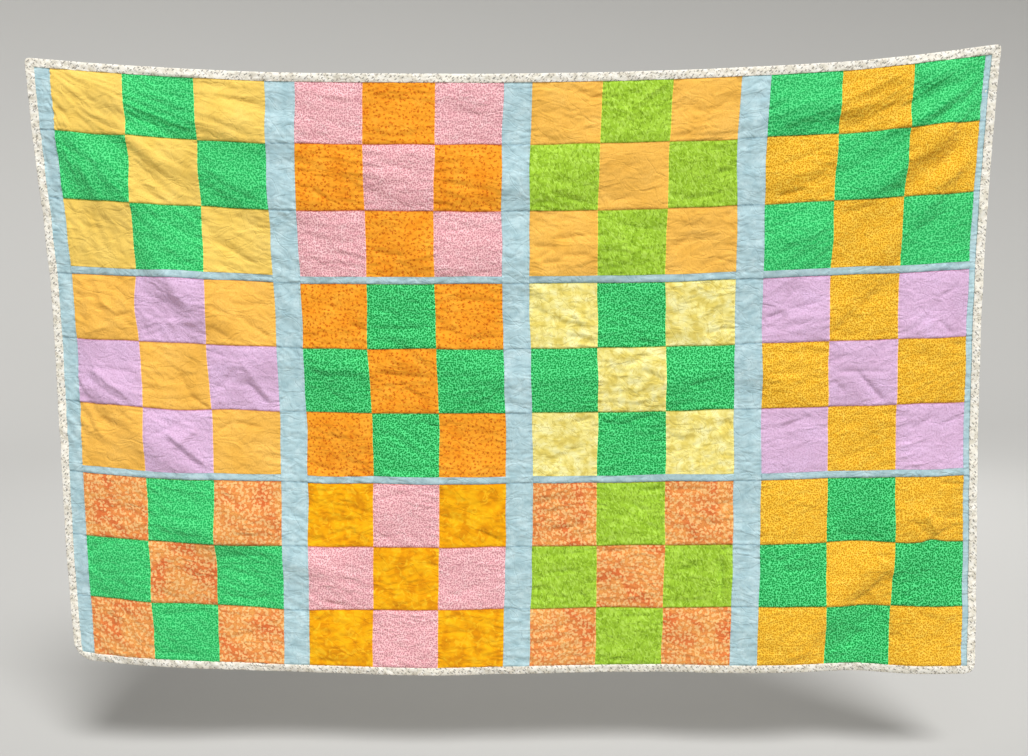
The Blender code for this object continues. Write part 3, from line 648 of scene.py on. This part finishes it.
def addGrid(name, columnCells, rowCells):
    # a flat grid, one metre a side, without a map of its own
    selectNone()
    bpy.ops.mesh.primitive_grid_add(
        x_subdivisions=columnCells, y_subdivisions=rowCells, size=1, location=(0, 0, 0)
    )
    grid = bpy.context.active_object
    grid.name = grid.data.name = name
    while grid.data.uv_layers:
        grid.data.uv_layers.remove(grid.data.uv_layers[0])
    return grid


def gridSlab(name, columns, rows):
    # a closed slab with one cell between each two lines, laid flat; shaped by what calls it
    slab = addGrid(name, len(columns) - 1, len(rows) - 1)
    bpy.ops.object.mode_set(mode="EDIT")
    bpy.ops.mesh.select_all(action="SELECT")
    bpy.ops.mesh.extrude_region_move(TRANSFORM_OT_translate={"value": (0, 0, 1)})
    bpy.ops.object.mode_set(mode="OBJECT")
    x, y, z = vertexPlaces(slab.data).T
    column = np.rint((x + 0.5) * (len(columns) - 1)).astype(int)
    row = np.rint((0.5 - y) * (len(rows) - 1)).astype(int)
    front = z > 0.5
    edge = (column == 0) | (column == len(columns) - 1) | (row == 0) | (row == len(rows) - 1)
    return slab, columns[column], rows[row], front, edge


def setPoints(mesh, points):
    mesh.vertices.foreach_set("co", points.astype(np.float32).ravel())
    mesh.update()


def thinOut(piece, chosen, share):
    # merges the hidden faces, which need no fine grid
    mesh = piece.data
    mesh.polygons.foreach_set("select", np.zeros(len(mesh.polygons), bool))
    mesh.edges.foreach_set("select", np.zeros(len(mesh.edges), bool))
    mesh.vertices.foreach_set("select", chosen)
    bpy.ops.object.mode_set(mode="EDIT")
    bpy.ops.mesh.select_mode(type="VERT")
    bpy.ops.mesh.decimate(ratio=share)
    bpy.ops.mesh.select_all(action="DESELECT")
    bpy.ops.object.mode_set(mode="OBJECT")


# Where each patch was cut, in metres along and across a long fabric
cutPlaces = np.random.default_rng(21).random((len(downLengths), len(acrossLengths), 2)) * 9


def addMaps(mesh, across, down, cutApart=True):
    # two maps: where each patch was cut from its fabric, and the place inside its own seams
    corners = cornerVertices(mesh)
    faces = corners.reshape(-1, 4)
    column = nearestSeam(across[faces].mean(axis=1), seamsAcross)[0]
    row = nearestSeam(down[faces].mean(axis=1), seamsDown)[0]
    cornerColumn, cornerRow = np.repeat(column, 4), np.repeat(row, 4)
    places = np.stack([across[corners], down[corners]], axis=1)
    isWide = acrossLengths[cornerColumn] > quilt["sashLimit"]
    cut = np.where((isWide & cutApart)[:, None], cutPlaces[cornerRow, cornerColumn], 0)
    sewnRow = np.repeat(nearestSeam(down[faces].mean(axis=1), sewnDown)[0], 4)
    inStrip = (places[:, 1] - sewnDown[sewnRow]) / np.diff(sewnDown)[sewnRow]
    # the binding's own seam has no painted seam shadow
    isFirst, isLast = sewnRow == 1, sewnRow == len(sewnDown) - 3
    inStrip = np.clip(inStrip, np.where(isFirst, 0.1, 0), np.where(isLast, 0.9, 1))
    inColumn = (places[:, 0] - seamsAcross[cornerColumn]) / acrossLengths[cornerColumn]
    # on the level sashes the patch map sits mid-way across, so neither the painted edge highlight nor the
    # ticks show there
    onSash = isWide & (downLengths[cornerRow] < quilt["sashLimit"])
    inPatch = np.stack([np.where(onSash, 0.5, inColumn), inStrip], axis=1)
    writeMaps(mesh, cloth=places + cut, patch=inPatch)
    return column, row


def finishPiece(piece, sharpAngle=50):
    selectNone()
    piece.select_set(True)
    bpy.context.view_layer.objects.active = piece
    bpy.ops.object.shade_smooth_by_angle(angle=math.radians(sharpAngle))
    piece.select_set(False)
    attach(piece, "root")


topPieces = {
    "fine": (0.0008, 0.0018, 0.0031, 0.0048, 0.0070),
    "columnStep": 0.0023,
    "rowStep": 0.0019,
    "hiddenShare": 0.09,
    "fill": 0.25,
}


def addTopPiece(name, columnSeams, rowSeams, materials, fabricOf):
    # one sewn piece of the top, filled out to its crown
    gap = quilt["pieceGap"]
    columns = gridLines(columnSeams, topPieces["fine"], topPieces["columnStep"])
    rows = gridLines(rowSeams, topPieces["fine"][:3], topPieces["rowStep"])
    columns[0], columns[-1] = columns[0] + gap, columns[-1] - gap
    rows[0], rows[-1] = rows[0] + gap, rows[-1] - gap
    piece, across, down, front, edge = gridSlab(name, columns, rows)
    column, row = addMaps(piece.data, across, down)
    out = np.where(front, halfThickness(across, down), quilt["underside"])
    lipPlace = nearestSeam(down, sewnDown)[2]
    lip = rumple["lip"] * np.exp(-(((lipPlace - rumple["lipAt"]) / rumple["lipWidth"]) ** 2))
    out = out + np.where(front & (down < seamsDown[-2] - rumple["lipClear"]), lip, 0)
    setPoints(piece.data, placeCloth(across, down, out))
    for material in materials:
        piece.data.materials.append(material)
    piece.data.polygons.foreach_set("material_index", fabricOf(column, row).astype(np.int32))
    thinOut(piece, ~front & ~edge, topPieces["hiddenShare"])
    finishPiece(piece)
    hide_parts("quilt_body")
    return piece


class Wire:
    # one socket of a material; sums on it add Math nodes, and node() adds any other node
    def __init__(self, tree, socket=None):
        self.tree = tree
        self.socket = socket

    def node(self, kind, settings=None, values=None, output=0):
        made = self.tree.nodes.new("ShaderNode" + kind)
        for name, value in (settings or {}).items():
            setattr(made, name, value)
        for name, value in (values or {}).items():
            if isinstance(value, Wire):
                self.tree.links.new(value.socket, made.inputs[name])
            else:
                made.inputs[name].default_value = value
        return Wire(self.tree, made.outputs[output])

    def maths(self, operation, first, second=0.0):
        return self.node("Math", {"operation": operation}, {0: first, 1: second})

    def __add__(self, other):
        return self.maths("ADD", self, other)

    def __radd__(self, other):
        return self.maths("ADD", other, self)

    def __sub__(self, other):
        return self.maths("SUBTRACT", self, other)

    def __rsub__(self, other):
        return self.maths("SUBTRACT", other, self)

    def __mul__(self, other):
        return self.maths("MULTIPLY", self, other)

    def __rmul__(self, other):
        return self.maths("MULTIPLY", other, self)

    def __abs__(self):
        return self.maths("ABSOLUTE", self)

    def lesser(self, other):
        return self.maths("MINIMUM", self, other)

    def soft(self, low, high, start=0.0, end=1.0):
        # a smooth step from start to end as the value goes from low to high
        return self.node(
            "MapRange",
            {"interpolation_type": "SMOOTHSTEP"},
            {0: self, 1: low, 2: high, 3: start, 4: end},
        )

    def colours(self, first, second):
        # first where this value is 0, second where it is 1
        return self.node("Mix", {"data_type": "RGBA"}, {0: self, 6: first, 7: second}, output=2)

    def turned(self, turn, scale):
        # this vector, with what is painted on it turned, and made longer by its scale
        values = {"Vector": self, "Rotation": (0, 0, turn), "Scale": scale}
        return self.node("Mapping", {"vector_type": "TEXTURE"}, values)

    def grain(self, spacing, detail=1.0, roughness=0.5, distortion=0.0, stretch=(1, 1, 1), turn=0.0):
        # noise on this vector, with swells about so far apart
        values = {
            "Vector": self.turned(turn, tuple(1 / share for share in stretch)),
            "Scale": 1 / spacing,
            "Detail": detail,
            "Roughness": roughness,
            "Distortion": distortion,
        }
        return self.node("TexNoise", {"noise_dimensions": "2D"}, values)

    def cells(self, scale, randomness):
        # the distance to the nearest of many scattered points, so many to a metre
        values = {"Vector": self, "Scale": scale, "Randomness": randomness}
        return self.node("TexVoronoi", {"voronoi_dimensions": "2D"}, values)


def dye(red, green, blue):
    # a colour as it looks, 0 to 255, as the linear one that shaders take
    values = [value / 255 for value in (red, green, blue)]
    linear = [v / 12.92 if v <= 0.04045 else ((v + 0.055) / 1.055) ** 2.4 for v in values]
    return (*linear, 1.0)


def mottled(cloth, ground, light, dark, spacing=0.035, contrast=1.0):
    # plain cotton with an uneven dye
    tone = cloth.grain(spacing, detail=2.0, roughness=0.6)
    shade = tone.soft(0.5, 0.5 - 0.26 / contrast).colours(ground, dark)
    return tone.soft(0.5, 0.5 + 0.26 / contrast).colours(shade, light)


def dabs(cloth, spacing, size=0.42, softness=0.08, ragged=0.6):
    # 1 on a dense, even print of ragged marks, 0 between them
    grain = cloth.grain(spacing * 0.55, detail=0) - 0.5
    uneven = cloth.cells(1 / spacing, 0.85) + grain * ragged
    return uneven.soft(size + softness, size - softness)


def dashes(cloth, spacing, turn):
    # 1 on thin slanting strokes, about evenly spaced
    return dabs(cloth.turned(turn, (1, 2.4, 1)), spacing, 0.17, 0.07, 0.20)


def plainCotton(cloth, red, green, blue, flecks=0.3):
    ground = dye(red, green, blue)
    light = dye(min(255, red + 5), min(255, green + 6), min(255, blue + 8))
    plain = mottled(cloth, ground, light, dye(red - 7, green - 8, blue - 9), 0.045)
    fleck = cloth.grain(0.0024, detail=1.5).soft(0.42, 0.66) * flecks
    return fleck.colours(plain, dye(red - 22, green - 26, blue - 24))


def butterCotton(cloth):
    return plainCotton(cloth, 247, 209, 104)


def apricotCotton(cloth):
    return plainCotton(cloth, 251, 193, 88, 0.4)


def lilacCotton(cloth):
    return plainCotton(cloth, 226, 190, 224, 0.75)


def lemonCotton(cloth):
    ground = mottled(cloth, dye(247, 233, 142), dye(253, 245, 172), dye(231, 211, 108), 0.020, 1.5)
    veins = abs(cloth.grain(0.018, detail=3, distortion=1.2) - 0.5).soft(0.04, 0.0)
    return (veins * 0.6).colours(ground, dye(212, 188, 84))


def amberCotton(cloth):
    ground = mottled(cloth, dye(245, 169, 2), dye(252, 184, 12), dye(228, 148, 0), 0.026, 1.7)
    clouds = cloth.grain(0.011, detail=2.5, distortion=1.2).soft(0.53, 0.68)
    return (clouds * 0.7).colours(ground, dye(255, 198, 34))


def greenCotton(cloth, faded=0.0):
    marks = dabs(cloth, 0.0029, 0.42)
    dark, light = dye(8 + 20 * faded, 150 + 20 * faded, 66 + 20 * faded), dye(92, 228, 140)
    return marks.colours(light, dark)


def mustardCotton(cloth):
    ground = mottled(cloth, dye(255, 204, 66), dye(255, 210, 78), dye(250, 193, 54), 0.014)
    return (dabs(cloth, 0.0028, 0.37) * 0.95).colours(ground, dye(212, 146, 16))


def pinkCotton(cloth):
    ground = mottled(cloth, dye(255, 201, 205), dye(255, 210, 213), dye(249, 190, 196), 0.018)
    return (dabs(cloth, 0.0029, 0.37) * 0.9).colours(ground, dye(207, 135, 147))


def orangeCotton(cloth):
    ground = mottled(cloth, dye(254, 166, 40), dye(255, 175, 50), dye(247, 152, 29), 0.030)
    ragged = cloth.cells(185, 1.0) + (cloth.grain(0.0016, detail=0) - 0.5) * 0.7
    seen = cloth.grain(0.007, detail=1).soft(0.36, 0.56, 0.25, 1.0)
    return (ragged.soft(0.42, 0.14) * seen * 0.95).colours(ground, dye(210, 102, 10))


def limeCotton(cloth):
    ground = mottled(cloth, dye(162, 205, 56), dye(174, 216, 68), dye(150, 192, 46), 0.022, 1.2)
    strokes = cloth.grain(0.0030, detail=1.5, distortion=0.8, stretch=(1, 0.4, 1), turn=0.25)
    dark = strokes.soft(0.50, 0.66) * 0.85
    others = cloth.grain(0.0032, detail=1.5, distortion=0.8, stretch=(1, 0.4, 1), turn=-0.5)
    light = others.soft(0.50, 0.66) * 0.8
    return light.colours(dark.colours(ground, dye(124, 162, 28)), dye(190, 230, 92))


def floralCotton(cloth):
    blotch = cloth.grain(0.034, detail=1.5, distortion=0.6, stretch=(0.7, 1, 1), turn=0.8)
    ground = blotch.soft(0.30, 0.80).colours(dye(242, 168, 88), dye(226, 116, 60))
    petals = cloth.cells(150, 0.9) + (cloth.grain(0.0030, detail=0) - 0.5) * 0.8
    outlined = (abs(petals - 0.54).soft(0.16, 0.0) * 0.5).colours(ground, dye(214, 98, 44))
    return (petals.soft(0.50, 0.20) * 0.75).colours(outlined, dye(251, 204, 138))


def blueCotton(cloth):
    ground = mottled(cloth, dye(182, 212, 219), dye(196, 223, 229), dye(168, 200, 208), 0.020, 1.2)
    return (cloth.grain(0.004, detail=2).soft(0.5, 0.75) * 0.5).colours(ground, dye(160, 192, 202))


def twigCotton(cloth):
    ground = mottled(cloth, dye(244, 239, 226), dye(250, 247, 238), dye(228, 222, 206), 0.010, 1.6)
    marked = (dashes(cloth, 0.0044, 0.9) * 0.85).colours(ground, dye(136, 134, 128))
    return (dashes(cloth, 0.0050, -0.5) * 0.6).colours(marked, dye(168, 156, 144))


def backingCotton(cloth):
    return plainCotton(cloth, 233, 228, 214)


weave = {
    "thread": 0.00042,          # threads are this far apart
    "threadHeight": 0.00005,
    "wrinkle": 0.017,           # washed-in creases too fine for the mesh
    "wrinkleHeight": 0.0034,
    "loop": 0.040,              # loose rows of curved machine quilting, over all the pieces
    "loopWidth": 0.024,
    "loopDepth": 0.00032,
    "bumpStrength": 0.8,
    "roughness": 0.9,
    "sheen": 0.06,
    "sheenRoughness": 0.6,
    "gloss": 0.12,
    "unevenTone": (0.965, 1.03),    # the broad shading of worn cloth
    "toneLength": 0.16,
    "seamLine": 0.0016,         # how far the shadow of a level seam reaches
    "highlightedEdge": 0.0013,      # the paler painted highlight beside an upright seam
    "edgeHighlightTone": 1.20,
    "hollowShade": 0.005,            # and the painted shade in the hollow beside a level one
    "hollowShadeTone": 0.97,
    "tick": 0.0042,             # short gathers beside the upright seams
    "tickHeight": 0.0011,
    "tickReach": 0.0095,
}


def newFabric(name, paintCloth, seamShade=(1.0, 1.0, 1.0)):
    # one cotton: its print, the colour of the painted shadow along its level seams, and the weave that every
    # fabric has
    material = bpy.data.materials.new(name)
    material.use_nodes = True
    tree = material.node_tree
    shader = tree.nodes["Principled BSDF"]
    start = Wire(tree)
    cloth = start.node("UVMap", {"uv_map": "cloth"})
    patch = start.node("UVMap", {"uv_map": "patch"})
    colour = paintCloth(cloth)

    sides = patch.node("SeparateXYZ", values={0: patch})
    ends = patch.node("SeparateXYZ", values={0: patch}, output=1)
    toSide = sides.lesser(1 - sides) * quilt["patchWidth"]
    toEnd = ends.lesser(1 - ends) * quilt["patchHeight"]
    tone = cloth.grain(weave["toneLength"], detail=2).soft(0.35, 0.65, *weave["unevenTone"])
    # painted shade: a little darker in the hollow beside each level seam
    hollowShade = toEnd.soft(0.0, weave["hollowShade"], weave["hollowShadeTone"], 1.0)
    # painted highlight: paler within this reach of an upright seam
    edge = toSide.soft(weave["highlightedEdge"], 0.0, 1.0, weave["edgeHighlightTone"])
    shade = tone * hollowShade * edge
    grey = shade.node("CombineColor", values={0: shade, 1: shade, 2: shade})
    # painted shadow along each level seam, multiplied in with the fabric's seamShade colour
    seamShadowShare = toEnd.soft(weave["seamLine"], weave["seamLine"] * 0.35)
    seamShadowColour = seamShadowShare.colours((1, 1, 1, 1), (*seamShade, 1.0))
    multiply = {"data_type": "RGBA", "blend_type": "MULTIPLY"}
    shaded = colour.node("Mix", multiply, {0: 1.0, 6: colour, 7: grey}, output=2)
    withSeamShadow = shaded.node("Mix", multiply, {0: 1.0, 6: shaded, 7: seamShadowColour}, output=2)
    tree.links.new(withSeamShadow.socket, shader.inputs["Base Color"])

    warp = cloth.grain(weave["thread"], detail=0, stretch=(1, 0.18, 1))
    weft = cloth.grain(weave["thread"], detail=0, stretch=(0.18, 1, 1))
    whole = start.node("TexCoord", output=3)
    flat = whole.node("Mapping", values={"Vector": whole, "Rotation": (math.radians(-90), 0, 0)})
    wrinkle = abs(flat.grain(weave["wrinkle"], detail=2.5, distortion=0.6, stretch=(0.6, 1, 1)) - 0.5)
    loops = abs(flat.grain(weave["loop"], detail=0, distortion=0.5) - 0.5)
    height = (warp + weft) * weave["threadHeight"] + wrinkle * weave["wrinkleHeight"]
    height = height + loops.soft(0.0, weave["loopWidth"]) * weave["loopDepth"]
    ticks = flat.grain(weave["tick"], detail=0, stretch=(0.2, 1, 1)) * weave["tickHeight"]
    height = height + ticks * toSide.soft(weave["tickReach"], weave["highlightedEdge"])
    bump = height.node("Bump", values={"Height": height, "Distance": 1.0, "Strength": weave["bumpStrength"]})
    tree.links.new(bump.socket, shader.inputs["Normal"])
    shader.inputs["Roughness"].default_value = weave["roughness"]
    shader.inputs["Sheen Weight"].default_value = weave["sheen"]
    shader.inputs["Sheen Roughness"].default_value = weave["sheenRoughness"]
    shader.inputs["Specular IOR Level"].default_value = weave["gloss"]
    return material


# The fabric of each block's corners and centre, then of its four side patches
blockFabrics = (
    (("butter", "softGreen"), ("pink", "orange"), ("apricot", "lime"), ("softGreen", "mustard")),
    (("apricot", "lilac"), ("orange", "green"), ("lemon", "green"), ("lilac", "mustard")),
    (("floral", "softGreen"), ("amber", "pink"), ("floral", "lime"), ("mustard", "green")),
)

# Each fabric's print, then the colour that multiplies it in the painted shadow along its level seams
fabrics = {
    "butter": newFabric("butterCotton", butterCotton, (0.62, 0.66, 0.40)),
    "green": newFabric("greenCotton", greenCotton, (2.0, 0.52, 0.38)),
    "softGreen": newFabric("fadedGreenCotton", lambda c: greenCotton(c, 1.0), (2.0, 0.52, 0.38)),
    "pink": newFabric("pinkCotton", pinkCotton, (0.76, 0.50, 0.42)),
    "orange": newFabric("orangeCotton", orangeCotton, (0.78, 0.54, 0.72)),
    "apricot": newFabric("apricotCotton", apricotCotton, (0.72, 0.58, 0.62)),
    "lime": newFabric("limeCotton", limeCotton, (0.84, 0.54, 0.46)),
    "mustard": newFabric("mustardCotton", mustardCotton, (0.68, 0.60, 0.50)),
    "lilac": newFabric("lilacCotton", lilacCotton, (0.78, 0.56, 0.62)),
    "lemon": newFabric("lemonCotton", lemonCotton, (0.62, 0.64, 0.42)),
    "floral": newFabric("floralCotton", floralCotton, (0.70, 0.62, 0.52)),
    "amber": newFabric("amberCotton", amberCotton, (0.76, 0.60, 0.85)),
    "blue": newFabric("blueCotton", blueCotton, (0.74, 0.80, 0.84)),
    "twig": newFabric("twigCotton", twigCotton),
    "backing": newFabric("backingCotton", backingCotton, (0.88, 0.88, 0.86)),
}
print("fabrics:", len(fabrics))


def outerSeams(seams, start, end):
    # the seams that a piece spans; at the quilt's edge it runs on under the binding
    span = list(seams[start:end + 1])
    if start == 1:
        span[0] = quilt["inset"] + quilt["pieceGap"]
        span.insert(1, seams[1])
    if end == len(seams) - 2:
        span[-1] = seams[-2]
        span.append(seams[-1] - quilt["inset"] - quilt["pieceGap"])
    return span


def addBlocks():
    made = []
    for row, firstRow in enumerate(firstRows):
        for column, firstColumn in enumerate(firstColumns):
            corner, side = blockFabrics[row][column]
            made.append(addTopPiece(
                f"block_{row + 1}_{column + 1}",
                outerSeams(seamsAcross, firstColumn, firstColumn + quilt["patches"]),
                outerSeams(seamsDown, firstRow, firstRow + quilt["patches"]),
                (fabrics[corner], fabrics[side]),
                lambda i, j, a=firstColumn, b=firstRow: (
                    np.clip(i - a, 0, 2) + np.clip(j - b, 0, 2)) % 2,
            ))
    return made


def addSashes():
    made = []
    uprights = [1] + [first + quilt["patches"] for first in firstColumns]
    for number, strip in enumerate(uprights):
        made.append(addTopPiece(
            f"sash_upright_{number + 1}",
            outerSeams(seamsAcross, strip, strip + 1),
            outerSeams(seamsDown, 1, len(seamsDown) - 2),
            (fabrics["blue"],),
            lambda i, j: i * 0,
        ))
    for row, strip in enumerate(levelSashes):
        for column, first in enumerate(firstColumns):
            made.append(addTopPiece(
                f"sash_level_{row + 1}_{column + 1}",
                list(seamsAcross[first:first + quilt["patches"] + 1]),
                list(seamsDown[strip:strip + 2]),
                (fabrics["blue"],),
                lambda i, j: i * 0,
            ))
    return made


backing = {"fine": (0.0016, 0.0042), "step": 0.0074, "hiddenShare": 0.16}


def addBacking():
    # one plain sheet behind it all, quilted down along the same seams
    inset = quilt["inset"] + quilt["pieceGap"]
    columnSeams = [inset, *seamsAcross[1:-1], quiltWidth - inset]
    rowSeams = [inset, *seamsDown[1:-1], quiltHeight - inset]
    columns = gridLines(columnSeams, backing["fine"], backing["step"])
    rows = gridLines(rowSeams, backing["fine"], backing["step"])
    sheet, across, down, front, edge = gridSlab("backing", columns, rows)
    addMaps(sheet.data, across, down, cutApart=False)
    out = np.where(front, -quilt["underside"], -halfThickness(across, down))
    setPoints(sheet.data, placeCloth(across, down, out))
    sheet.data.materials.append(fabrics["backing"])
    thinOut(sheet, front & ~edge, backing["hiddenShare"])
    finishPiece(sheet)
    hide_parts("quilt_body")
    return sheet


binding = {
    "cloth": 0.0012,            # two layers of folded cotton
    "inner": 0.00185,           # its inside, from the middle of the thickness
    "frontPoints": 7,
    "seamDrop": 0.0009,         # its edge is drawn down into the seam
    "dropReach": 0.0018,
    "nosePoints": 5,
    "step": 0.0025,
    "mitreGap": 0.00025,
    "mitreReach": 0.034,
    "hemFold": 0.0002,          # its raw edges are turned in by this much
    "puff": 0.00045,            # and it is drawn in a little at every stitch
    "puffLengths": (0.013, 0.02),
    "stitchPitch": 0.0052,
    "stitchShare": 0.6,
    "flatWidth": 0.0290,        # before it is folded round the edge, pressed double
    "backPrint": 0.05,          # how far down its fabric the far side's print is
    "sharpAngle": 62,           # degrees, past which an edge stays sharp
}


def bindingSection():
    # the folded strip's section, right round: distance from the edge's fold, and side
    inner, outer = binding["inner"], binding["inner"] + binding["cloth"]
    width, nose = quilt["bindingWidth"], binding["cloth"] * 1.4
    front = []
    for k in range(binding["frontPoints"]):
        fromSeam = (width - nose) * (k / (binding["frontPoints"] - 1)) ** 1.4
        drop = binding["seamDrop"] * math.exp(-fromSeam / binding["dropReach"])
        front.append((width - fromSeam, outer - drop))
    turn = []
    for k in range(1, binding["nosePoints"] + 1):
        angle = math.pi * k / (binding["nosePoints"] + 1)
        turn.append((nose * (1 - math.sin(angle)), outer * math.cos(angle)))
    back = [(inset, -out) for inset, out in reversed(front)]
    hem = inner - binding["hemFold"]
    inside = [(width, -hem), (binding["cloth"], -inner), (binding["cloth"], inner), (width, hem)]
    return front + turn + back + inside


def mitred(along, inset, length):
    # draws a strip's ends in, so that they meet the next strip's at 45 degrees
    fromEnd = np.minimum(along, length - along)
    draw = (inset + binding["mitreGap"]) * np.maximum(0.0, 1 - fromEnd / binding["mitreReach"])
    return np.where(along < length / 2, along + draw, along - draw)


def addBindingStrip(side):
    section = np.array(bindingSection())
    length = quiltHeight if side in ("left", "right") else quiltWidth
    strip = addGrid("binding_cloth_" + side, round(length / binding["step"]), len(section))
    mesh = strip.data
    x, y = vertexPlaces(mesh).T[:2]
    along = (x + 0.5) * length
    ring = np.rint((0.5 - y) * len(section)).astype(int)
    inset, out = section[ring % len(section)].T
    outside = np.abs(out) > binding["inner"] + binding["hemFold"]
    lengthAlong, lengthIn = binding["puffLengths"]
    puff = softNoise(along / lengthAlong + inset * 60, inset / lengthIn, 31)
    stitches = np.sin(2 * math.pi * (along + inset) / binding["stitchPitch"])
    puff = puff + binding["stitchShare"] * stitches * (inset / quilt["bindingWidth"]) ** 2
    out = out + np.where(outside, np.sign(out) * binding["puff"] * puff, 0)
    along = mitred(along, inset, length)
    across, down = {
        "top": (along, inset),
        "bottom": (along, quiltHeight - inset),
        "left": (inset, along),
        "right": (quiltWidth - inset, along),
    }[side]
    mapPlaces = np.stack([along, inset + np.where(out < 0, binding["backPrint"], 0)], axis=1)
    corners = cornerVertices(mesh)
    writeMaps(mesh, cloth=mapPlaces[corners], patch=np.full((len(corners), 2), 0.5))
    setPoints(mesh, placeCloth(across, down, out))
    mesh.materials.append(fabrics["twig"])
    bpy.ops.object.mode_set(mode="EDIT")
    bpy.ops.mesh.select_all(action="SELECT")
    bpy.ops.mesh.remove_doubles(threshold=0.00001)
    bpy.ops.mesh.fill_holes(sides=0)
    bpy.ops.mesh.select_all(action="SELECT")
    bpy.ops.mesh.normals_make_consistent(inside=False)
    bpy.ops.object.mode_set(mode="OBJECT")
    finishPiece(strip, binding["sharpAngle"])
    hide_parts("binding_" + side)
    return strip


blocks = addBlocks()
print("blocks:", len(blocks))
sashes = addSashes()
print("sashes:", len(sashes))
backSheet = addBacking()
strips = [addBindingStrip(side) for side in ("top", "right", "bottom", "left")]
print("binding strips:", len(strips))
blocks + sashes + strips


studio = {
    "floorLevel": -1.02,
    "dishRadius": 3.6,
    "rimRise": 3.2,
    "rimSteps": 14,
    "floor": dye(184, 183, 180),
    "world": (1.0, 0.985, 0.955, 1.0),
    "worldStrength": 0.23,
}


def addStudio():
    # a pale floor whose far edge sweeps up all round, so no line shows behind the quilt
    selectNone()
    bpy.ops.mesh.primitive_circle_add(
        vertices=96, radius=studio["dishRadius"], fill_type="NGON", location=(0, 0, 0)
    )
    floor = bpy.context.active_object
    floor.name = "studio_floor"
    bpy.ops.object.mode_set(mode="EDIT")
    bpy.ops.mesh.select_mode(type="EDGE")
    bpy.ops.mesh.select_all(action="SELECT")
    bpy.ops.mesh.region_to_loop()
    reach = studio["dishRadius"]
    for step in range(1, studio["rimSteps"] + 1):
        angle = math.pi / 2 * step / studio["rimSteps"]
        before = math.pi / 2 * (step - 1) / studio["rimSteps"]
        rise = studio["rimRise"] * (math.cos(before) - math.cos(angle))
        newReach = studio["dishRadius"] + studio["rimRise"] * math.sin(angle)
        bpy.ops.mesh.extrude_region_move(TRANSFORM_OT_translate={"value": (0, 0, rise)})
        bpy.ops.transform.resize(value=(newReach / reach, newReach / reach, 1))
        reach = newReach
    bpy.ops.mesh.select_all(action="SELECT")
    bpy.ops.mesh.normals_make_consistent(inside=True)
    bpy.ops.object.mode_set(mode="OBJECT")
    floor.location.z = studio["floorLevel"]
    floor.data.shade_smooth()
    material = bpy.data.materials.new("studioFloor")
    material.use_nodes = True
    shader = material.node_tree.nodes["Principled BSDF"]
    shader.inputs["Base Color"].default_value = studio["floor"]
    shader.inputs["Roughness"].default_value = 0.95
    floor.data.materials.append(material)


# The main light comes evenly from above; its softness is how wide it looks, in degrees
keyLight = {"from": (0.35, -1.0, 1.55), "softness": 24, "strength": 2.95}

# Large soft lights: name, place, what it looks at, size and power
fillLights = (
    ("frontFill", (0.2, -2.2, 1.8), (0.0, 0.0, -0.3), 2.0, 20),
    ("backFill", (0.6, 2.6, 1.2), (0.0, 0.0, -0.45), 2.2, 40),
)


def addLights():
    bpy.ops.object.light_add(type="SUN", location=(0, 0, 3))
    key = bpy.context.active_object
    key.name = "keyLight"
    key.data.energy = keyLight["strength"]
    key.data.angle = math.radians(keyLight["softness"])
    key.rotation_euler = (-Vector(keyLight["from"])).to_track_quat("-Z", "Y").to_euler()
    for name, place, target, size, power in fillLights:
        bpy.ops.object.light_add(type="AREA", location=place)
        light = bpy.context.active_object
        light.name = name
        light.data.size = size
        light.data.energy = power
        light.rotation_euler = (Vector(target) - Vector(place)).to_track_quat("-Z", "Y").to_euler()
    world = bpy.data.worlds.new("studioAir")
    bpy.context.scene.world = world
    world.use_nodes = True
    background = world.node_tree.nodes["Background"]
    background.inputs["Color"].default_value = studio["world"]
    background.inputs["Strength"].default_value = studio["worldStrength"]


camera = {
    "place": (0.0, -1.6, -0.3143),
    "tiltDown": 4.5,            # degrees
    "widthAtQuilt": 1.51,       # metres of the picture's width at the quilt
    "sensor": 36.0,
}


def addCamera():
    bpy.ops.object.camera_add(location=camera["place"])
    seen = bpy.context.active_object
    seen.name = "photo_view"
    seen.rotation_euler = (math.radians(90 - camera["tiltDown"]), 0, 0)
    seen.data.sensor_width = camera["sensor"]
    seen.data.lens = camera["sensor"] * -camera["place"][1] / camera["widthAtQuilt"]
    bpy.context.scene.camera = seen


addStudio()
addLights()
addCamera()
bpy.context.scene.view_settings.view_transform = "Standard"
print("studio: floor, lights and camera")

triangles = []
for piece in blocks + sashes + strips + [backSheet]:
    piece.data.calc_loop_triangles()
    triangles.append(len(piece.data.loop_triangles))
print("triangles:", sum(triangles), "most in one piece:", max(triangles))
